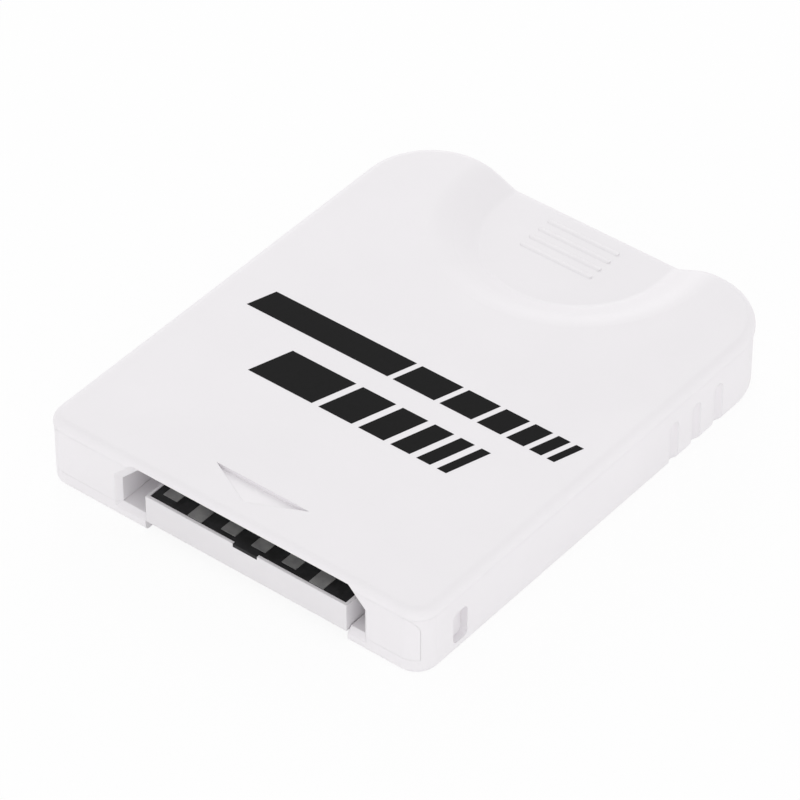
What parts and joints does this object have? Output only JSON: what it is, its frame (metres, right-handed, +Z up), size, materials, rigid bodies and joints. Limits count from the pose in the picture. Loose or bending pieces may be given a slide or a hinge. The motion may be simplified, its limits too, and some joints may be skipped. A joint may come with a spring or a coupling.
{
  "type": "console memory card",
  "caption": "Flat white plug-in memory card for a game console, with a contact tongue in its front mouth, a thumb scoop at the rear and grip grooves on its sides",
  "frame": {"origin": "middle of the underside, on the face that the card rests on", "axes": "X across the card, Y from the connector end to the thumb end, Z up out of the printed face"},
  "size_m": [0.042, 0.0524, 0.007],
  "materials": {
    "shell_plastic": "satin",
    "board": "lacquered",
    "contact_metal": "plated",
    "chip_plastic": "matte",
    "tinned_lead": "tinned",
    "capacitor_body": "matte",
    "resistor_body": "matte"
  },
  "bodies": {
    "root": {"top_shell": "shell_plastic", "bottom_shell": "shell_plastic", "connector_tongue": "shell_plastic", "connector_frame": "shell_plastic", "circuit_board": "board", "flash_chip": "chip_plastic", "flash_chip_leads": "tinned_lead", "controller_chip": "chip_plastic", "controller_chip_leads": "tinned_lead", "contact_1": "contact_metal", "contact_2": "contact_metal", "contact_3": "contact_metal", "contact_4": "contact_metal", "contact_5": "contact_metal", "contact_6": "contact_metal", "capacitor_1": "capacitor_body", "capacitor_2": "capacitor_body", "capacitor_3": "capacitor_body", "capacitor_4": "capacitor_body", "capacitor_5": "capacitor_body", "capacitor_6": "capacitor_body", "resistor_1": "resistor_body", "resistor_2": "resistor_body", "resistor_3": "resistor_body", "resistor_4": "resistor_body", "resistor_5": "resistor_body", "resistor_6": "resistor_body"}
  },
  "joints": []
}
